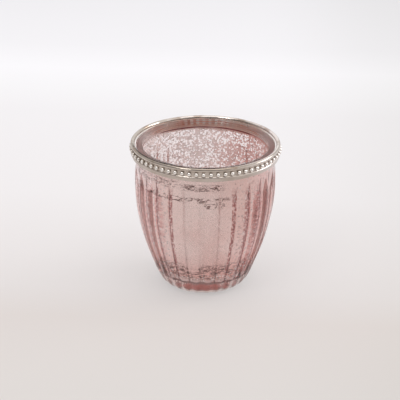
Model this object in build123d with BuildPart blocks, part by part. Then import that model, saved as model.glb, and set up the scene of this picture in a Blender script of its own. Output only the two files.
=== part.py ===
from build123d import *

import math
import os

os.makedirs("parts", exist_ok=True)

# Tealight holder: a pressed glass cup with convex flutes and a heavy foot, silvered inside,
# with a beaded metal band glued round its lip. Millimetres, +Z up. The origin is the centre of
# the foot, on the table. A tealight of 39 mm stands on the inner floor.

# Glass cup, outside: radius and height of the levels that its side line passes through.
foot_radius = 18.0  # edge of the flat foot
heel_radius, heel_height = 24.9, 5.8  # top of the rounded heel
heel_lean = 22.0  # of the side line from upright there, in degrees
waist_radius, waist_height = 32.9, 28.0
belly_radius, belly_height = 37.2, 54.0  # widest level
lip_height = 79.0
neck_radius, neck_length = 36.9, 8.0  # plain round neck, down from the lip

# Flutes: convex ribs with rounded grooves between them. Below the neck the round glass swells to meet them,
# so each rib ends in an arch.
flute_count = 26
groove_depth = 1.05  # crest to groove at the belly
groove_share = 0.45  # of the pitch, taken by the rounded bottom of a groove
rib_sink = 0.08  # how far the crests have dipped under the neck's surface at its start
arch_height = 13.0  # from the foot of the swelling, at the bottom of the grooves, up to the neck

# Glass cup, inside.
floor_thickness = 8.0
floor_wall = 2.3  # from the top of the heel in to the floor's corner, before it is rounded
floor_corner_radius = 3.0
waist_wall = 3.7
belly_wall = 4.4
mouth_wall = 3.9
lip_flat = 0.3  # left between the lip's rounded edges
punt_radius, punt_depth = 12.0, 0.8  # shallow dish under the foot

# Silvering: a thin film over the whole inside, up to a clear collar below the lip.
silvering_thickness = 0.15
clear_collar = 3.5  # lip to the edge of the silvering

# Rim band: a metal strip round the neck, with a roll, a row of pearls, a bead and a skirt.
glue_gap = 0.15
band_rise = 1.0  # how far the band stands above the glass lip
roll_radius = 1.1
channel_depth = 0.6  # from the roll's outside in to the wall behind the pearls
bead_height, bead_bulge = 1.6, 0.7
skirt_height, skirt_proud, skirt_rounding = 1.25, 0.15, 0.5
pearl_count = 67
pearl_radius = 1.1
pearl_clearance = 0.05  # to the roll above and to the bead below
pearl_reach = 1.35  # how far a pearl stands out of the wall behind it

neck_height = lip_height - neck_length
arch_foot_height = neck_height - arch_height
floor_radius = heel_radius - floor_wall
mouth_radius = neck_radius - mouth_wall
lip_rounding = (mouth_wall - lip_flat) / 2

# Side line of the cup in radius and height. Its levels are read off by the loft.
heel_direction = (math.sin(math.radians(heel_lean)), math.cos(math.radians(heel_lean)))
with BuildLine() as side_line:
    side = Spline(
        (heel_radius, heel_height),
        (waist_radius, waist_height),
        (belly_radius, belly_height),
        (neck_radius - rib_sink, neck_height),
        tangents=[heel_direction, (0, 1)],
    )
    heel = TangentArc(side @ 0, (foot_radius, 0), tangent=-(side % 0))


def fluted_outline(crest_radius):
    """Closed outline of one level: an arc over each rib, and a tangent one round each groove."""
    pitch = 360 / flute_count
    rib_angle = pitch * (1 - groove_share)
    turn_radius = crest_radius * (1 - groove_depth * (1 - groove_share) / belly_radius)
    for flute in range(flute_count):
        crest = Vector(0, -crest_radius).rotate(Axis.Z, (flute + 0.5) * pitch)
        turn = Vector(0, -turn_radius).rotate(Axis.Z, (flute + 0.5) * pitch - rib_angle / 2)
        rib = ThreePointArc(turn, crest, turn.rotate(Axis.Z, rib_angle))
        TangentArc(rib @ 1, turn.rotate(Axis.Z, pitch), tangent=rib % 1)


def cavity_outline(top):
    """Half section of the inside of the cup, up to a level."""
    wall = Spline(
        (floor_radius, floor_thickness),
        (waist_radius - waist_wall, waist_height),
        (belly_radius - belly_wall, belly_height),
        (mouth_radius, neck_height),
        tangents=[heel_direction, (0, 1)],
    )
    Polyline(wall @ 1, (mouth_radius, top), (0, top), (0, floor_thickness), wall @ 0)


# Glass cup
heel_levels = [heel @ (1 - step / 3) for step in range(3)]
side_levels = [side @ (step / 8) for step in range(9)]

with BuildPart() as glass_cup:
    for level in heel_levels + side_levels:
        with BuildSketch(Plane.XY.offset(level.Y)):
            with BuildLine():
                fluted_outline(level.X)
            make_face()
    loft()
    with BuildSketch(Plane.XZ):
        with BuildLine():
            Polyline(
                (0, arch_foot_height),
                (belly_radius - groove_depth, arch_foot_height),
                (neck_radius, neck_height),
                (neck_radius, lip_height),
                (0, lip_height),
                close=True,
            )
        make_face()
    revolve(axis=Axis.Z)
    with BuildSketch(Plane.XZ):
        with BuildLine():
            cavity_outline(lip_height)
        make_face()
    revolve(axis=Axis.Z, mode=Mode.SUBTRACT)
    fillet(glass_cup.edges().group_by(Axis.Z)[-1], radius=lip_rounding)
    floor_edge = glass_cup.edges().filter_by(GeomType.CIRCLE).filter_by_position(
        Axis.Z, floor_thickness - 0.01, floor_thickness + 0.01
    )
    fillet(floor_edge, radius=floor_corner_radius)
    with BuildSketch(Plane.XZ):
        with BuildLine():
            ThreePointArc((-punt_radius, 0), (0, punt_depth), (punt_radius, 0))
            Line((-punt_radius, 0), (punt_radius, 0))
        make_face()
        split(bisect_by=Plane.YZ)
    revolve(axis=Axis.Z, mode=Mode.SUBTRACT)
glass_cup.part.label = "glass_cup"
export_step(glass_cup.part, "parts/glass_cup.step")

# Silvering
with BuildPart() as silvering:
    with BuildSketch(Plane.XZ):
        with BuildLine():
            cavity_outline(lip_height - clear_collar)
        make_face()
    revolve(axis=Axis.Z)
    fillet(silvering.edges().group_by(Axis.Z)[0], radius=floor_corner_radius)
    offset(amount=-silvering_thickness, openings=silvering.faces().sort_by(Axis.Z)[-1])
silvering.part.label = "silvering"
export_step(silvering.part, "parts/silvering.step")

# Rim band
band_top = lip_height + band_rise
band_inner_radius = neck_radius + glue_gap
roll_centre = Vector(band_inner_radius + roll_radius, band_top - roll_radius)
channel_radius = roll_centre.X + roll_radius - channel_depth
channel_top = roll_centre.Y - math.sqrt(roll_radius**2 - (channel_radius - roll_centre.X) ** 2)
pearl_level = channel_top - pearl_clearance - pearl_radius
channel_bottom = pearl_level - pearl_radius - pearl_clearance
bead_bottom = channel_bottom - bead_height
band_bottom = bead_bottom - skirt_height
skirt_radius = channel_radius + skirt_proud
half_pitch = 180 / pearl_count

with BuildPart() as rim_band:
    with BuildSketch(Plane.XZ):
        with BuildLine():
            ThreePointArc(
                (band_inner_radius, roll_centre.Y),
                (roll_centre.X, band_top),
                (roll_centre.X + roll_radius, roll_centre.Y),
            )
            RadiusArc((roll_centre.X + roll_radius, roll_centre.Y), (channel_radius, channel_top), roll_radius)
            Line((channel_radius, channel_top), (channel_radius, channel_bottom))
            ThreePointArc(
                (channel_radius, channel_bottom),
                (channel_radius + bead_bulge, channel_bottom - bead_height / 2),
                (skirt_radius, bead_bottom),
            )
            Polyline(
                (skirt_radius, bead_bottom),
                (skirt_radius, band_bottom),
                (band_inner_radius, band_bottom),
                (band_inner_radius, roll_centre.Y),
            )
        make_face()
    revolve(axis=Axis.Z)
    fillet(rim_band.edges().group_by(Axis.Z)[0].sort_by(SortBy.LENGTH)[-1], radius=skirt_rounding)
    with Locations((0, 0, pearl_level)):
        with PolarLocations(channel_radius + pearl_reach - pearl_radius, pearl_count, half_pitch):
            Sphere(pearl_radius, rotation=(0, 90, 0))
rim_band.part.label = "rim_band"
export_step(rim_band.part, "parts/rim_band.step")
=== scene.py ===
import math

import bpy
import bmesh
import numpy as np
from mathutils import Matrix, Vector
from mathutils.bvhtree import BVHTree

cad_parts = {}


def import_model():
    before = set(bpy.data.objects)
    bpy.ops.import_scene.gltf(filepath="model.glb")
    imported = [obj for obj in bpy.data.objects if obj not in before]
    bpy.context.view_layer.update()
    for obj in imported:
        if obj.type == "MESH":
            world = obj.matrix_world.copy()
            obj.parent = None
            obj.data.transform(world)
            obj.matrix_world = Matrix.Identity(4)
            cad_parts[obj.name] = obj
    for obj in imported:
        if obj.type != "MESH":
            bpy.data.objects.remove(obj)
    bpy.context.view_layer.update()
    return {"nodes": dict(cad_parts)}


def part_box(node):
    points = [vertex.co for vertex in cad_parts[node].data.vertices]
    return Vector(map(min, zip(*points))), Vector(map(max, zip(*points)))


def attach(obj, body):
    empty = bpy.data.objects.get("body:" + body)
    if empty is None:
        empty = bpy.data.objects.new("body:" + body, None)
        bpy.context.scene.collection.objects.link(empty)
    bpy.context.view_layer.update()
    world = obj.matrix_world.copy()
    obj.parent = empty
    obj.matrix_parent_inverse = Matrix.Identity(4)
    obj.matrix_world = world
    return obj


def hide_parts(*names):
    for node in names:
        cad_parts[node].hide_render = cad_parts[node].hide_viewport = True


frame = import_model()

# Lengths are in metres, mostly written as millimetres times MM. The front of the holder is -Y.
MM = 0.001
GROOVES = 26
PEARLS = 67
NECK = 36.9 * MM  # radius of the glass under the band
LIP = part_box("glass_cup")[1].z
COAT_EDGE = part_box("silvering")[1].z  # top edge of the silvering
BAND_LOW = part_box("rim_band")[0].z
# centre of the roll's section, in radius and height
ROLL_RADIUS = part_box("rim_band")[1].x - 1.82 * MM
ROLL_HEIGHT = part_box("rim_band")[1].z - 1.1 * MM
# The film's outer face lies this far inside the glass, so that light in the glass meets the film
# and not an air gap.
FILM_IN_GLASS = 0.05 * MM
FILM_THICK = 0.10 * MM
COAT_THICK = 0.15 * MM  # of the silvering in the CAD
STEPS_ROUND = 256  # faces round the film and the glue
PROFILE_POINTS = 160


# ---------------------------------------------------------------- node helpers
class Tree:
    """A node tree written as calls: sockets and plain values go in, a socket or a node comes out."""

    def __init__(self, tree):
        self.tree = tree
        tree.nodes.clear()

    def add(self, kind, inputs=None, **props):
        node = self.tree.nodes.new(kind)
        for name, value in props.items():
            setattr(node, name, value)
        for name, value in (inputs or {}).items():
            socket = node.inputs[name]
            if isinstance(value, bpy.types.Node):
                value = value.outputs[0]
            if isinstance(value, bpy.types.NodeSocket):
                self.tree.links.new(value, socket)
            else:
                socket.default_value = value
        return node

    def place(self):
        """Object coordinates, as a vector and as x, y and z."""
        whole = self.add("ShaderNodeTexCoord").outputs["Object"]
        return (whole, *self.add("ShaderNodeSeparateXYZ", {0: whole}).outputs)

    def math(self, operation, a, b=0.0, c=0.0):
        return self.add("ShaderNodeMath", {0: a, 1: b, 2: c}, operation=operation).outputs[0]

    def chain(self, operation, values):
        result = values[0]
        for value in values[1:]:
            result = self.math(operation, result, value)
        return result

    def product(self, *values):
        return self.chain("MULTIPLY", values)

    def total(self, *values):
        return self.chain("ADD", values)

    def largest(self, *values):
        return self.chain("MAXIMUM", values)

    def less(self, a, b):
        return self.math("SUBTRACT", a, b)

    def ramp(self, value, low, high, to_low=0.0, to_high=1.0, smooth=True):
        """value mapped from low..high to to_low..to_high, and held there outside them."""
        node = self.add(
            "ShaderNodeMapRange",
            {"Value": value, "From Min": low, "From Max": high, "To Min": to_low, "To Max": to_high},
            interpolation_type="SMOOTHSTEP" if smooth else "LINEAR",
        )
        return node.outputs["Result"]

    def fall(self, value, low, high):
        """1 below low, 0 above high."""
        return self.ramp(value, low, high, 1.0, 0.0)

    def near(self, value, centre, full, gone, inside=1.0, outside=0.0):
        """inside within full of the centre, outside beyond gone."""
        away = self.math("ABSOLUTE", self.less(value, centre))
        return self.ramp(away, full, gone, inside, outside)

    def mix(self, factor, a, b, blend="MIX"):
        node = self.add("ShaderNodeMix", {0: factor, 6: a, 7: b}, data_type="RGBA", blend_type=blend)
        return node.outputs[2]

    def darkened(self, colour, by):
        return self.mix(1.0, colour, by, blend="MULTIPLY")

    def noise(self, vector, scale, detail=2.0, roughness=0.5, output="Fac"):
        inputs = {"Vector": vector, "Scale": scale, "Detail": detail, "Roughness": roughness}
        return self.add("ShaderNodeTexNoise", inputs).outputs[output]

    def vector(self, operation, *vectors):
        return self.add("ShaderNodeVectorMath", dict(enumerate(vectors)), operation=operation).outputs[0]

    def bump(self, height, distance, strength=1.0, normal=None):
        inputs = {"Height": height, "Distance": distance, "Strength": strength}
        if normal is not None:
            inputs["Normal"] = normal
        return self.add("ShaderNodeBump", inputs).outputs[0]

    def round_axis(self, x, y, count, start):
        """count waves round the axis, 1 at each crest and -1 between two."""
        angle = self.math("MULTIPLY_ADD", self.math("ARCTAN2", y, x), float(count), count * start)
        return self.math("COSINE", angle)

    def surface(self, shader, volume=None):
        out = self.add("ShaderNodeOutputMaterial", {"Surface": shader})
        if volume is not None:
            self.tree.links.new(volume.outputs[0], out.inputs["Volume"])


def material(name):
    made = bpy.data.materials.new(name)
    made.use_nodes = True
    return made, Tree(made.node_tree)


def srgb(r, g, b):
    """A screen colour, 0 to 255, as a linear one."""

    def linear(v):
        v /= 255
        return v / 12.92 if v <= 0.04045 else ((v + 0.055) / 1.055) ** 2.4

    return (linear(r), linear(g), linear(b), 1.0)


# ---------------------------------------------------------------- materials
def glass_material():
    """Rose pressed glass. The tint is in its depth, so thick glass is darker."""
    made, t = material("rose_glass")
    place, x, y, z = t.place()
    ripple = t.noise(place, 70.0, detail=1.0)
    bumped = t.bump(ripple, 0.6 * MM, strength=0.35)
    bumped = t.bump(t.noise(place, 420.0), 0.03 * MM, strength=0.35, normal=bumped)
    # drawn lines round the neck, left by the tool that finished the lip
    line_pitch = 0.95 * MM
    wander = t.product(ripple, 9.0)
    drawn = t.math("SINE", t.math("MULTIPLY_ADD", z, 2 * math.pi / line_pitch, wander))
    drawn = t.product(drawn, t.ramp(z, 73.5 * MM, 75.0 * MM))
    bumped = t.bump(drawn, 0.05 * MM, normal=bumped)
    # painted shade: red painted into the grooves of the front half, but not in the middle of the front,
    # for the deeper red that light takes on its long, bent path through the glass there
    groove = t.ramp(t.round_axis(x, y, GROOVES, math.pi / 2), 0.70, 0.98)
    groove = t.product(groove, t.fall(z, 56 * MM, 66 * MM), t.ramp(z, 4 * MM, 12 * MM))
    middle = t.product(t.near(x, 0.0, 14 * MM, 19 * MM), t.fall(y, -18 * MM, -8 * MM))
    speckle = t.ramp(t.noise(place, 900.0), 0.42, 0.54, 0.25, 1.0)
    groove_red_shade = t.product(groove, speckle, t.less(1.0, middle), t.fall(y, -12 * MM, -4 * MM))
    # the lip is ground, and duller at the sides
    polished = 0.03
    lip_rough = t.near(x, 0.0, 18 * MM, 29 * MM, 0.06, 0.85)
    ground = t.ramp(z, 77.0 * MM, 78.2 * MM)
    rough = t.math("MULTIPLY_ADD", ground, t.less(lip_rough, polished), polished)
    # the foot's surface lets less red through than the rest
    clear = t.mix(t.fall(z, 3 * MM, 7 * MM), (1.0, 0.985, 0.98, 1.0), (0.66, 0.84, 0.82, 1.0))
    shader = t.add(
        "ShaderNodeBsdfPrincipled",
        {
            "Base Color": t.mix(groove_red_shade, clear, (0.62, 0.26, 0.25, 1.0)),
            "Roughness": rough,
            "IOR": 1.51,
            "Transmission Weight": 1.0,
            "Normal": bumped,
        },
    )
    tint = {"Color": (0.685, 0.345, 0.30, 1.0), "Density": 24.0}
    t.surface(shader, t.add("ShaderNodeVolumeAbsorption", tint))
    return made


def stained_outside(t, place, x, y, z, colour):
    """The film's colour as seen through the glass, with its cracks and changes of tone, and painted
    shade: red in the grooves and deeper on the right.
    """
    # thin wavering cracks that lie mostly level, each where a noise passes through one value: two
    # belts and a short branch below the band, a patch on the left shoulder, and a belt at the foot
    level = t.vector("MULTIPLY", place, (1.0, 1.0, 2.6))
    line = t.near(t.noise(level, 210.0, detail=3.0, roughness=0.65), 0.5, 0.012, 0.042)
    second = t.near(t.noise(level, 330.0, detail=3.0, roughness=0.65), 0.47, 0.010, 0.036)
    high = t.product(t.near(z, 67.5 * MM, 1.2 * MM, 2.4 * MM), t.near(x, 0.0, 8 * MM, 14 * MM))
    lower = t.product(t.near(z, 60.5 * MM, 0.8 * MM, 2.0 * MM), t.fall(x, 10 * MM, 16 * MM))
    branch = t.product(t.near(z, 59.0 * MM, 2.2 * MM, 3.4 * MM), t.near(x, 6.5 * MM, 4 * MM, 6 * MM))
    patches = t.ramp(t.noise(place, 95.0, detail=1.0), 0.36, 0.46)
    foot = t.product(t.near(z, 16.5 * MM, 3.5 * MM, 6.5 * MM), patches)
    shoulder = t.near(z, 68.2 * MM, 1.6 * MM, 3.0 * MM, inside=0.85)
    shoulder = t.product(shoulder, t.fall(x, -15 * MM, -10 * MM))
    belts = t.largest(high, lower, foot, branch, shoulder)
    belts = t.product(belts, t.fall(y, -12 * MM, -4 * MM))
    line = t.largest(line, t.product(second, t.largest(high, foot, shoulder)))
    # the coat is darker and redder towards the floor, and greyer on the floor's corner
    low_tone = t.mix(t.ramp(z, 9.5 * MM, 14 * MM), (0.58, 0.46, 0.44, 1.0), (0.88, 0.40, 0.33, 1.0))
    colour = t.mix(t.ramp(z, 6 * MM, 34 * MM, 0.64, 0.0), colour, low_tone)
    colour = t.mix(t.product(line, belts, 0.95), colour, (0.13, 0.045, 0.035, 1.0))
    # slow random changes of tone, with painted light and shade: lighter on the left and deeper on the
    # right
    side = t.math("MULTIPLY_ADD", x, 9.0, t.noise(place, 48.0))
    colour = t.mix(t.ramp(side, 0.38, 0.72), colour, t.darkened(colour, (0.94, 0.86, 0.85, 1.0)))
    # painted shade: red speckles behind the grooves, in wider bands away from the middle of the front,
    # for the deeper red that light takes on its long, bent path through the glass at the grooves
    wider_right = t.ramp(x, 14 * MM, 17 * MM, 0.0, 0.40)
    wider_left = t.ramp(x, -17 * MM, -14 * MM, 0.05, 0.20)
    wider_left = t.product(wider_left, t.fall(x, -8 * MM, -4 * MM))
    phase = t.total(t.round_axis(x, y, GROOVES, math.pi / 2), wider_right, wider_left)
    groove = t.product(
        t.ramp(phase, 0.25, 0.80),
        t.ramp(t.noise(place, 800.0), 0.41, 0.53),
        t.fall(z, 58 * MM, 68 * MM),
        t.fall(y, -18 * MM, -10 * MM),
        t.largest(t.ramp(x, 7 * MM, 11 * MM), t.fall(x, -10.5 * MM, -8.5 * MM)),
        0.85,
    )
    return t.mix(groove, colour, (0.40, 0.10, 0.095, 1.0))


def stained_inside(t, place, x, y, z, colour, drift):
    """The film's colour as seen from inside, with its dark edge and specks, and painted shade that makes
    its right side redder and darker.
    """
    edge = t.ramp(t.math("MULTIPLY_ADD", drift, 1.0 * MM, z), COAT_EDGE - 0.4 * MM, COAT_EDGE)
    edge = t.product(edge, t.ramp(t.noise(place, 60.0, detail=1.0), 0.35, 0.55, 0.45, 1.0), 0.95)
    colour = t.mix(edge, colour, (0.20, 0.035, 0.03, 1.0))
    # dark specks of tarnish, more of them towards the sides
    specks = t.ramp(t.noise(place, 560.0, detail=3.0), 0.54, 0.62)
    specks = t.product(specks, t.near(x, 0.0, 8 * MM, 20 * MM, 0.10, 0.55))
    colour = t.mix(specks, colour, (0.36, 0.27, 0.25, 1.0))
    # painted shade: towards the right and the back the inside is darker and redder, as less light falls
    # there than on the left
    right_shade = t.product(t.ramp(x, -5 * MM, 22 * MM), t.ramp(y, -12 * MM, 4 * MM))
    return t.mix(right_shade, colour, t.darkened(colour, (0.90, 0.56, 0.52, 1.0)))


def film_material(name, silver, tarnish, metallic, rough_low, rough_high, outside):
    """Mottled silvering: a mirror film with round bare blots and pinholes, tarnished round them."""
    made, t = material(name)
    place, x, y, z = t.place()
    drift = t.noise(place, 55.0)
    specks = t.noise(place, 1700.0, detail=1.0)
    # the middle of the front is evenly coated
    even = t.product(
        t.near(x, 0.0, 8 * MM, 18 * MM), t.fall(y, -18 * MM, -8 * MM), t.ramp(z, 12 * MM, 20 * MM)
    )
    mottled = t.less(1.0, even)
    # bare blots: cells with ragged outlines, larger at the back and most of all at its left
    ragged = 1.1 * MM
    jitter = t.noise(place, 1100.0, detail=1.0, output="Color")
    jitter = t.vector("SUBTRACT", jitter, (0.5, 0.5, 0.5))
    shifted = t.vector("MULTIPLY_ADD", jitter, (ragged, ragged, ragged), place)
    cells = t.add("ShaderNodeTexVoronoi", {"Vector": shifted, "Scale": 860.0}, feature="F1").outputs
    cell_size = t.add("ShaderNodeSeparateXYZ", {0: cells["Color"]}).outputs["X"]
    reach = t.total(
        t.math("MULTIPLY_ADD", cell_size, 0.34, 0.14),
        t.math("MULTIPLY_ADD", drift, 0.5, -0.25),
        t.ramp(y, -12 * MM, 6 * MM, 0.0, 0.13),
        t.product(t.ramp(x, -28 * MM, -4 * MM, 0.13, 0.0), t.ramp(y, -6 * MM, 6 * MM)),
    )
    reach = t.product(reach, mottled)
    bare = t.fall(t.less(cells["Distance"], reach), -0.05, 0.05)
    bare = t.product(bare, t.fall(z, COAT_EDGE - 1.1 * MM, COAT_EDGE - 0.7 * MM))
    # the film is thinner at the back and full at its top edge
    film = t.largest(
        t.ramp(y, -12 * MM, 6 * MM, 0.92, 0.66),
        t.ramp(x, -26 * MM, -12 * MM, 0.88, 0.0),
        t.ramp(z, COAT_EDGE - 1.2 * MM, COAT_EDGE - 0.8 * MM),
    )
    alpha = t.product(film, t.math("MULTIPLY_ADD", bare, -0.90, 1.0))
    dull = t.ramp(specks, 0.48, 0.64)
    if outside:
        colour = t.mix(t.product(dull, mottled), silver, tarnish)
        colour = stained_outside(t, place, x, y, z, colour)
    else:
        colour = t.mix(dull, silver, tarnish)
        colour = stained_inside(t, place, x, y, z, colour, drift)
    rough = t.ramp(specks, 0.35, 0.65, rough_low, rough_high, smooth=False)
    shader = t.add(
        "ShaderNodeBsdfPrincipled",
        {
            "Base Color": colour,
            "Metallic": metallic,
            "Roughness": t.math("MULTIPLY_ADD", even, 0.14, rough),
            "Alpha": alpha,
            "Normal": t.bump(t.product(t.less(specks, 0.5), mottled), 0.04 * MM, strength=0.4),
        },
    )
    t.surface(shader)
    return made


def metal_material():
    """Pale champagne metal, polished but uneven, a little tarnished, with painted shade, highlights and
    a dark reflection in its colour.
    """
    made, t = material("band_metal")
    place, x, y, z = t.place()
    out = t.math("SQRT", t.math("MULTIPLY_ADD", x, x, t.product(y, y)))
    # how far a place on the roll is turned up from its outermost line, in radians
    tilt = t.math("ARCTAN2", t.less(z, ROLL_HEIGHT), t.less(out, ROLL_RADIUS))
    cloud = t.noise(place, 130.0, detail=4.0)
    colour = t.mix(t.ramp(cloud, 0.35, 0.65), srgb(200, 190, 181), srgb(222, 213, 206))
    # painted shade to the left and painted light to the right: duller to the left, paler to the right
    colour = t.mix(t.ramp(x, -37 * MM, -20 * MM, 0.5, 0.0), colour, srgb(172, 163, 152))
    colour = t.mix(t.ramp(x, 16 * MM, 34 * MM, 0.0, 0.6), colour, srgb(244, 236, 234))
    # tarnish and painted shade in the recess behind the pearls, and a painted highlight on the pearls'
    # outermost parts
    channel = t.near(z, ROLL_HEIGHT - 2.13 * MM, 1.05 * MM, 1.25 * MM)
    behind = t.product(channel, t.fall(out, ROLL_RADIUS + 0.7 * MM, ROLL_RADIUS + 1.25 * MM), 0.25)
    colour = t.mix(behind, colour, srgb(120, 108, 90))
    pearl_top_highlight = t.product(channel, t.ramp(out, ROLL_RADIUS + 1.2 * MM, ROLL_RADIUS + 1.6 * MM), 0.85)
    colour = t.mix(pearl_top_highlight, colour, srgb(252, 249, 245))
    # painted shade: the roll's outer side is duller, most of all towards its top, which draws a dark
    # outline at the band's sides
    flank_shade = t.product(
        t.fall(tilt, 1.15, 1.30),
        t.ramp(z, ROLL_HEIGHT - 1.0 * MM, ROLL_HEIGHT - 0.8 * MM),
        t.ramp(tilt, 0.35, 0.75, 0.30, 1.0),
        0.60,
    )
    colour = t.mix(flank_shade, colour, srgb(150, 136, 120))
    # brown patches on the roll
    patch = t.product(
        t.ramp(t.noise(place, 75.0, detail=3.0), 0.52, 0.62),
        t.ramp(z, ROLL_HEIGHT - 0.2 * MM, ROLL_HEIGHT + 0.4 * MM),
        0.6,
    )
    colour = t.mix(patch, colour, srgb(150, 124, 104))
    # the skirt is duller than the roll
    skirt = t.ramp(z, ROLL_HEIGHT - 3.9 * MM, ROLL_HEIGHT - 3.3 * MM, 0.35, 0.0)
    colour = t.mix(skirt, colour, srgb(172, 158, 146))
    # painted dark reflection: a dark line along the top of the roll, broken up, only in front, standing
    # for the dim room in front reflected there; there the metal is also less metallic and rougher
    line = t.product(
        t.ramp(tilt, 1.05, 1.20),
        t.fall(tilt, 1.90, 2.15),
        t.ramp(z, ROLL_HEIGHT, ROLL_HEIGHT + 0.1 * MM),
        t.fall(t.math("MULTIPLY_ADD", x, 0.6, y), -35 * MM, -27 * MM),
        t.ramp(t.noise(place, 120.0), 0.30, 0.42, 0.45, 1.0),
    )
    colour = t.mix(line, colour, srgb(52, 38, 30))
    rough = t.ramp(cloud, 0.3, 0.7, 0.06, 0.14, smooth=False)
    bumped = t.bump(t.noise(place, 115.0, detail=1.0), 0.6 * MM, strength=0.35)
    bumped = t.bump(t.noise(place, 260.0), 0.2 * MM, strength=0.5, normal=bumped)
    bumped = t.bump(t.noise(place, 1500.0), 0.03 * MM, strength=0.5, normal=bumped)
    shader = t.add(
        "ShaderNodeBsdfPrincipled",
        {
            "Base Color": colour,
            "Metallic": t.math("MULTIPLY_ADD", line, -0.5, 1.0),
            "Roughness": t.math("MULTIPLY_ADD", line, 0.4, rough),
            "Normal": bumped,
        },
    )
    t.surface(shader)
    return made


def glue_material():
    """Clear glue gone cloudy, between the glass and the band, with the backs of the pearls in it, and a
    painted highlight on them.
    """
    made, t = material("glue")
    place, x, y, z = t.place()
    streak = t.noise(t.vector("MULTIPLY", place, (1.0, 1.0, 11.0)), 75.0, detail=3.0, roughness=0.6)
    # at the back it is warmer, and browner towards the lip with a wavering edge
    colour = t.mix(t.ramp(y, 16 * MM, 32 * MM), srgb(255, 252, 250), srgb(248, 222, 208))
    upper = t.product(
        t.ramp(t.math("MULTIPLY_ADD", streak, 6.0 * MM, z), 78.4 * MM, 79.6 * MM),
        t.fall(z, 77.0 * MM, 77.6 * MM),
        t.ramp(y, 12 * MM, 26 * MM),
    )
    colour = t.mix(upper, colour, srgb(222, 160, 138))
    pearl_backs = t.product(
        t.ramp(t.round_axis(x, y, PEARLS, math.pi / PEARLS), -1.0, 1.0),
        t.near(z, ROLL_HEIGHT - 2.7 * MM, 0.2 * MM, 0.9 * MM),
    )
    # painted highlight: pale dashes on the pearl backs near the middle of the front and back, for the
    # glints on the glass lip
    pale = t.product(t.ramp(pearl_backs, 0.25, 0.60), t.near(x, 0.0, 8 * MM, 18 * MM, 0.9, 0.0))
    shader = t.add(
        "ShaderNodeBsdfPrincipled",
        {
            "Base Color": t.mix(pale, colour, (1.0, 0.93, 0.87, 1.0)),
            "Metallic": 0.2,
            "Roughness": t.ramp(streak, 0.42, 0.56, 0.18, 0.42, smooth=False),
            "Normal": t.bump(pearl_backs, 0.15 * MM),
        },
    )
    t.surface(shader)
    return made


# ---------------------------------------------------------------- film and glue
def film_profile():
    """Radius and height of the silvering's inner face, from the floor's middle to its top edge."""
    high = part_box("silvering")[1]
    mesh = frame["nodes"]["silvering"].data
    tree = BVHTree.FromPolygons(
        [v.co.copy() for v in mesh.vertices], [tuple(p.vertices) for p in mesh.polygons]
    )
    eye = Vector((0.0, 0.0, high.z * 0.5))
    # rays from the middle, from straight down to a little under the top edge
    last = math.atan2(high.z - 0.05 * MM - eye.z, high.x - COAT_THICK)
    points = []
    for angle in np.linspace(-math.pi / 2 + 1e-4, last, PROFILE_POINTS):
        hit = tree.ray_cast(eye, Vector((math.cos(angle), 0.0, math.sin(angle))))[0]
        points.append((hit.x, hit.z))
    points[0] = (0.0, points[0][1])
    points.append((points[-1][0], high.z))
    return np.array(points)


def ring(bm, radius, height):
    """A ring of vertices, or one vertex on the axis."""
    if radius < 1e-9:
        return [bm.verts.new((0, 0, height))]
    angles = np.linspace(0, 2 * math.pi, STEPS_ROUND, endpoint=False)
    return [bm.verts.new((radius * math.cos(a), radius * math.sin(a), height)) for a in angles]


def join(bm, first, second, slot=0, smooth=True, flip=False):
    """Faces from one ring, or from one vertex on the axis, to the next ring."""
    for k in range(STEPS_ROUND):
        n = (k + 1) % STEPS_ROUND
        start = [first[0]] if len(first) == 1 else [first[k], first[n]]
        corners = start + [second[n], second[k]]
        if flip:
            corners.reverse()
        face = bm.faces.new(corners)
        face.smooth = smooth
        face.material_index = slot


def placed(name, bm, materials):
    mesh = bpy.data.meshes.new(name)
    bm.normal_update()
    bm.to_mesh(mesh)
    bm.free()
    for each in materials:
        mesh.materials.append(each)
    made = bpy.data.objects.new(name, mesh)
    bpy.context.scene.collection.objects.link(made)
    return made


def shell(name, profile, out, back, materials):
    """A closed film, turned about Z: the profile moved out along its normals, and back less far.

    Its outer face takes the first material, its inner face and top edge the second."""
    along = np.gradient(profile, axis=0)
    along /= np.linalg.norm(along, axis=1)[:, None]
    normal = np.stack([along[:, 1], -along[:, 0]], 1)
    normal[0] = (0.0, -1.0)
    normal[-1] = (1.0, 0.0)
    bm = bmesh.new()
    faces = []
    for distance in (out, back):
        line = profile + normal * distance
        line[0, 0] = 0.0
        line[-1, 1] = profile[-1, 1]
        faces.append([ring(bm, r, z) for r, z in line])
    for slot, rings in enumerate(faces):
        for lower, upper in zip(rings, rings[1:]):
            join(bm, lower, upper, slot, flip=slot == 1)
    join(bm, faces[0][-1], faces[1][-1], slot=1, smooth=False)
    return placed(name, bm, materials)


def turned(name, section, made_of):
    """A closed ring, turned about Z from a section in radius and height."""
    bm = bmesh.new()
    rings = [ring(bm, r, z) for r, z in section]
    for lower, upper in zip(rings, rings[1:] + rings[:1]):
        join(bm, lower, upper)
    bmesh.ops.recalc_face_normals(bm, faces=bm.faces)
    made = placed(name, bm, [made_of])
    made.data.set_sharp_from_angle(angle=math.radians(40))
    return made


def dress(node, made_of):
    for slot in frame["nodes"][node].material_slots:
        slot.material = made_of


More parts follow.
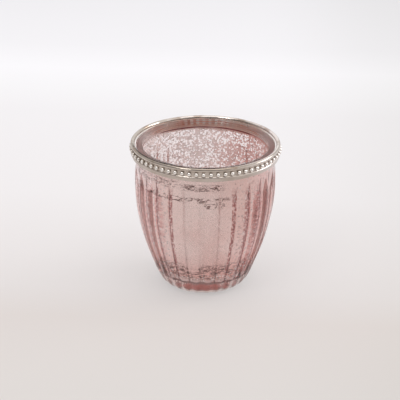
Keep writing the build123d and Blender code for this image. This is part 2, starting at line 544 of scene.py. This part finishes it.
# ---------------------------------------------------------------- stage, light and camera
def stage():
    """A plain pale floor, with painted light and shade: a little brighter some way behind the holder,
    and a little darker to the right.
    """
    half, below = 6.0, 0.02 * MM
    mesh = bpy.data.meshes.new("floor")
    corners = [(-half, -half, 0), (half, -half, 0), (half, half, 0), (-half, half, 0)]
    mesh.from_pydata(corners, [], [(0, 1, 2, 3)])
    floor = bpy.data.objects.new("floor", mesh)
    floor.location.z = -below
    bpy.context.scene.collection.objects.link(floor)
    made, t = material("floor_paper")
    _, x, y, _ = t.place()
    # painted light and shade: tones by distance behind the holder, darker in front of it and brightest
    # some way behind it
    front, rear = -0.15, 0.65
    tones = [
        (-0.12, (222, 217, 214)),
        (-0.050, (226, 219, 216)),
        (-0.016, (231, 226, 225)),
        (0.11, (240, 237, 238)),
        (0.26, (243, 241, 243)),
        (0.306, (247, 246, 248)),
        (0.357, (251, 250, 253)),
        (0.42, (245, 244, 247)),
        (0.60, (240, 239, 242)),
    ]
    ramp = t.add("ShaderNodeValToRGB", {"Fac": t.ramp(y, front, rear, smooth=False)})
    steps = ramp.color_ramp.elements
    while len(steps) < len(tones):
        steps.new(0.5)
    for step, (at, colour) in zip(steps, tones):
        step.position = (at - front) / (rear - front)
        step.color = srgb(*colour)
    tone = ramp.outputs["Color"]
    # painted shade: the floor is a little darker to the right
    tone = t.mix(t.ramp(x, 0.02, 0.16), tone, t.darkened(tone, (0.91, 0.91, 0.90, 1.0)))
    paper = {"Base Color": tone, "Roughness": 0.9, "Specular IOR Level": 0.1}
    paper = t.add("ShaderNodeBsdfPrincipled", paper)
    backdrop = t.add("ShaderNodeEmission", {"Color": tone, "Strength": 0.97})
    ray = t.add("ShaderNodeLightPath").outputs
    seen = t.largest(ray["Is Camera Ray"], ray["Is Glossy Ray"], ray["Is Transmission Ray"])
    t.surface(t.add("ShaderNodeMixShader", {0: t.product(seen, 0.6), 1: paper, 2: backdrop}))
    mesh.materials.append(made)


def world():
    """A white surround behind and at the sides. The room in front is dimmer, and so is the left."""
    made = bpy.data.worlds.new("studio")
    made.use_nodes = True
    bpy.context.scene.world = made
    t = Tree(made.node_tree)
    way = t.add("ShaderNodeTexCoord").outputs["Generated"]
    x, y, up = t.add("ShaderNodeSeparateXYZ", {0: way}).outputs
    room = t.product(t.fall(t.math("MULTIPLY_ADD", x, 0.45, y), -0.75, -0.15), t.ramp(up, -0.05, 0.10))
    sky = t.mix(room, (1.0, 0.985, 0.98, 1.0), (0.30, 0.28, 0.27, 1.0))
    left = t.product(t.fall(x, -0.95, -0.55), t.ramp(up, -0.10, 0.05), 0.45)
    sky = t.mix(left, sky, (0.34, 0.32, 0.31, 1.0))
    back = t.add("ShaderNodeBackground", {"Color": sky, "Strength": 0.98})
    t.add("ShaderNodeOutputWorld", {"Surface": back})


def area(name, place, aim, size, power):
    data = bpy.data.lights.new(name, "AREA")
    data.shape = "RECTANGLE"
    data.size, data.size_y = size
    data.energy = power
    lamp = bpy.data.objects.new(name, data)
    lamp.location = place
    lamp.rotation_euler = (Vector(aim) - Vector(place)).to_track_quat("-Z", "Y").to_euler()
    bpy.context.scene.collection.objects.link(lamp)


def camera():
    """The camera looks at a point on the axis, halfway up."""
    target = Vector((0.0, 0.0, 40 * MM))
    distance = 0.700
    azimuth, elevation, roll = (math.radians(a) for a in (2.37, 24.37, 0.77))
    flat = math.cos(elevation)
    away = Vector((math.sin(azimuth) * flat, -math.cos(azimuth) * flat, math.sin(elevation)))
    data = bpy.data.cameras.new("camera")
    data.sensor_width = 36.0
    data.lens = 117.7
    data.shift_x, data.shift_y = -0.0115, 0.0257
    data.clip_start, data.clip_end = 0.02, 30.0
    made = bpy.data.objects.new("camera", data)
    made.location = target + away * distance
    turn = (-away).to_track_quat("-Z", "Y").to_matrix().to_4x4()
    made.rotation_euler = (turn @ Matrix.Rotation(roll, 4, "Z")).to_euler()
    bpy.context.scene.collection.objects.link(made)
    bpy.context.scene.camera = made


# ---------------------------------------------------------------- holder and scene
dress("glass_cup", glass_material())
dress("rim_band", metal_material())

film_faces = [
    film_material(
        "film_through_glass", (1.0, 0.86, 0.84, 1.0), (0.94, 0.77, 0.74, 1.0), 1.0, 0.10, 0.20, True
    ),
    film_material(
        "film_from_inside", (1.0, 0.90, 0.88, 1.0), (0.98, 0.85, 0.83, 1.0), 0.2, 0.30, 0.45, False
    ),
]
film_out = COAT_THICK + FILM_IN_GLASS
film = shell("silver_film", film_profile(), film_out, film_out - FILM_THICK, film_faces)
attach(film, "root")
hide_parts("silvering")

# Glue in the gap between the glass neck and the band, a little into the glass as a bond is. Towards
# the lip its inner side follows the rounded glass.
glue_low, glue_high = BAND_LOW + 0.3 * MM, LIP - 0.60 * MM
glue = turned(
    "glue_line",
    [
        (NECK - 0.03 * MM, glue_low),
        (NECK + 0.14 * MM, glue_low),
        (NECK + 0.14 * MM, glue_high),
        (NECK - 0.45 * MM, LIP - 0.62 * MM),
        (NECK - 0.22 * MM, LIP - 0.98 * MM),
        (NECK - 0.08 * MM, LIP - 1.40 * MM),
        (NECK - 0.03 * MM, LIP - 1.80 * MM),
    ],
    glue_material(),
)
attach(glue, "root")

stage()
world()
area("key", (-0.1, -0.5, 1.7), (0, 0, 0.03), (2.0, 1.4), 7.2)
area("side", (1.4, 0.5, 0.8), (0, 0, 0.06), (0.7, 0.7), 6.0)
area("spark", (-0.62, -0.88, 1.15), (0, 0, 0.07), (0.4, 0.4), 2.5)
camera()
scene = bpy.context.scene
scene.view_settings.view_transform = "Standard"
scene.cycles.glossy_bounces = 8
scene.cycles.max_bounces = 16
